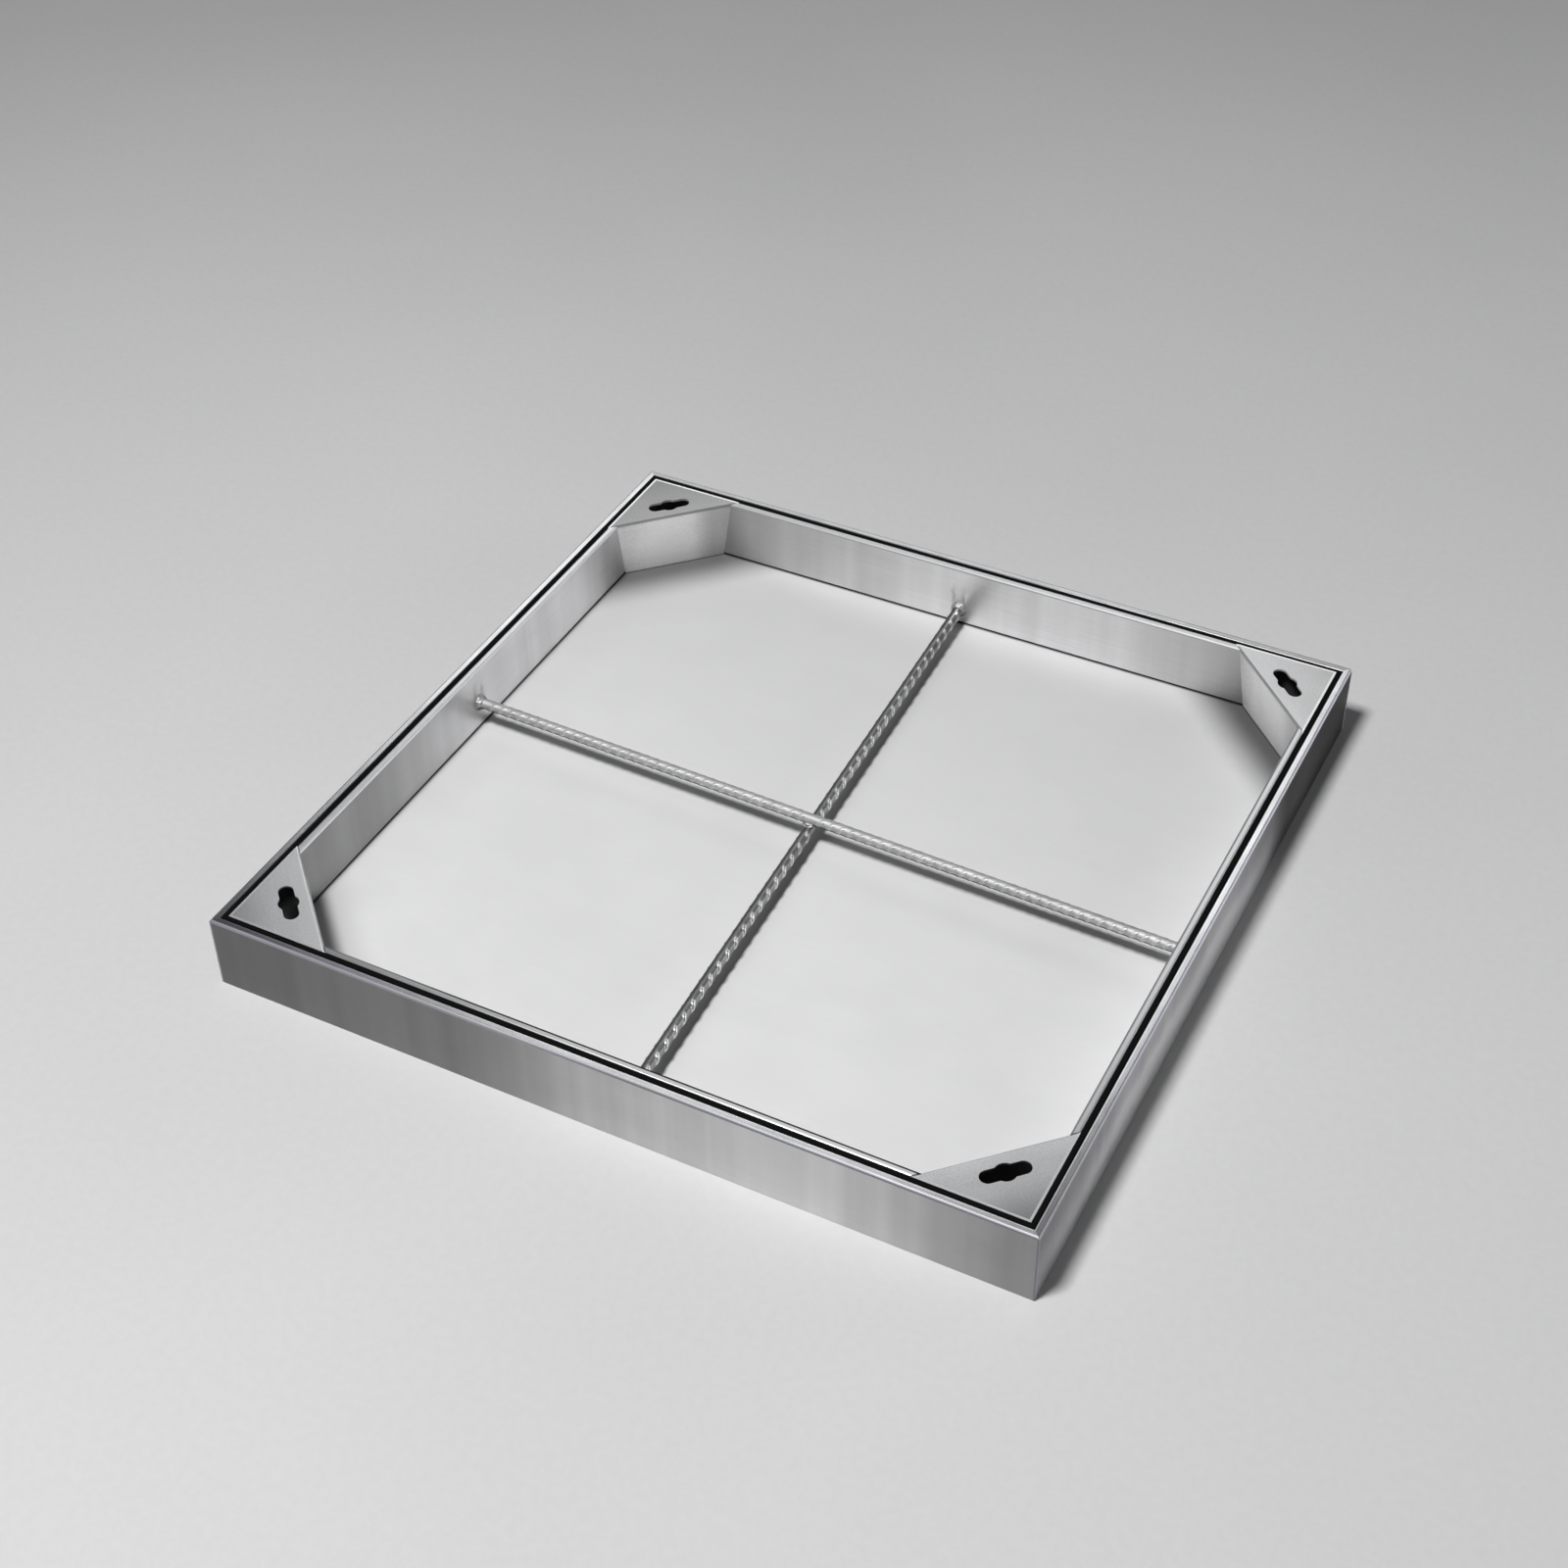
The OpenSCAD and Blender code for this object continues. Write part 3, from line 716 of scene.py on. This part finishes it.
g = Mat("studio_floor")
cloud = g.noise(g.mul(g.x, 1.5), g.mul(g.y, 1.5), 0.0, 3.0, 0.5, 90.0)
fine = g.noise(g.mul(g.x, 160.0), g.mul(g.y, 160.0), 0.0, 3.0, 0.6, 91.0)
tone = g.mul(g.ramp(cloud, 0.3, 0.7, 0.60, 0.63), g.ramp(fine, 0.3, 0.7, 0.985, 1.015))
g.done(g.tint(tone, (1.0, 1.0, 1.0)), 0.85, 0.0, spec=0.2)
me = bpy.data.meshes.new("studio_floor")
me.from_pydata([(-9, -9, -0.0002), (9, -9, -0.0002), (9, 9, -0.0002), (-9, 9, -0.0002)], [], [(0, 1, 2, 3)])
me.materials.append(g.m)
ground = bpy.data.objects.new("studio_floor", me)
bpy.context.scene.collection.objects.link(ground)

# a dim room that is a little lighter round the sides than overhead
world = bpy.data.worlds.new("studio")
world.use_nodes = True
wt = world.node_tree
bg = wt.nodes["Background"]
wc = wt.nodes.new("ShaderNodeTexCoord")
ws = wt.nodes.new("ShaderNodeSeparateXYZ")
wr = wt.nodes.new("ShaderNodeMapRange")
wr.interpolation_type = "SMOOTHSTEP"
for key, value in (("From Min", 0.45), ("From Max", 0.95), ("To Min", 1.0), ("To Max", 0.45)):
    wr.inputs[key].default_value = value
wm = wt.nodes.new("ShaderNodeVectorMath")
wm.operation = "SCALE"
wm.inputs[0].default_value = (0.94, 0.96, 1.0)
wt.links.new(wc.outputs["Generated"], ws.inputs[0])
wt.links.new(ws.outputs["Z"], wr.inputs["Value"])
wt.links.new(wr.outputs[0], wm.inputs["Scale"])
wt.links.new(wm.outputs[0], bg.inputs["Color"])
bg.inputs["Strength"].default_value = 0.05
bpy.context.scene.world = world


def lamp(name, direction, distance, width, height, watts, colour=(1, 1, 1), aim=(0, 0, 0.02)):
    data = bpy.data.lights.new(name, "AREA")
    data.shape = "RECTANGLE"
    data.size, data.size_y = width, height
    data.energy = watts
    data.color = colour
    ob = bpy.data.objects.new(name, data)
    d = Vector(direction).normalized()
    ob.location = Vector(aim) + d * distance
    ob.rotation_mode = "QUATERNION"
    ob.rotation_quaternion = d.to_track_quat("Z", "Y")
    bpy.context.scene.collection.objects.link(ob)
    return ob


LAMPS = [
    lamp("key_box", (-0.10, -0.41, 1.0), 3.0, 0.52, 0.52, 92.0),
    lamp("back_box", (-0.34, 0.74, 0.66), 3.0, 2.0, 1.2, 10.5, (0.98, 0.99, 1.0)),
    lamp("right_back_box", (0.72, 0.60, 0.17), 2.8, 1.6, 0.8, 15.0, (0.97, 0.98, 1.0)),
]

# the back box is there for the sheen on flat steel and fills no shadows
LAMPS[1].visible_diffuse = False
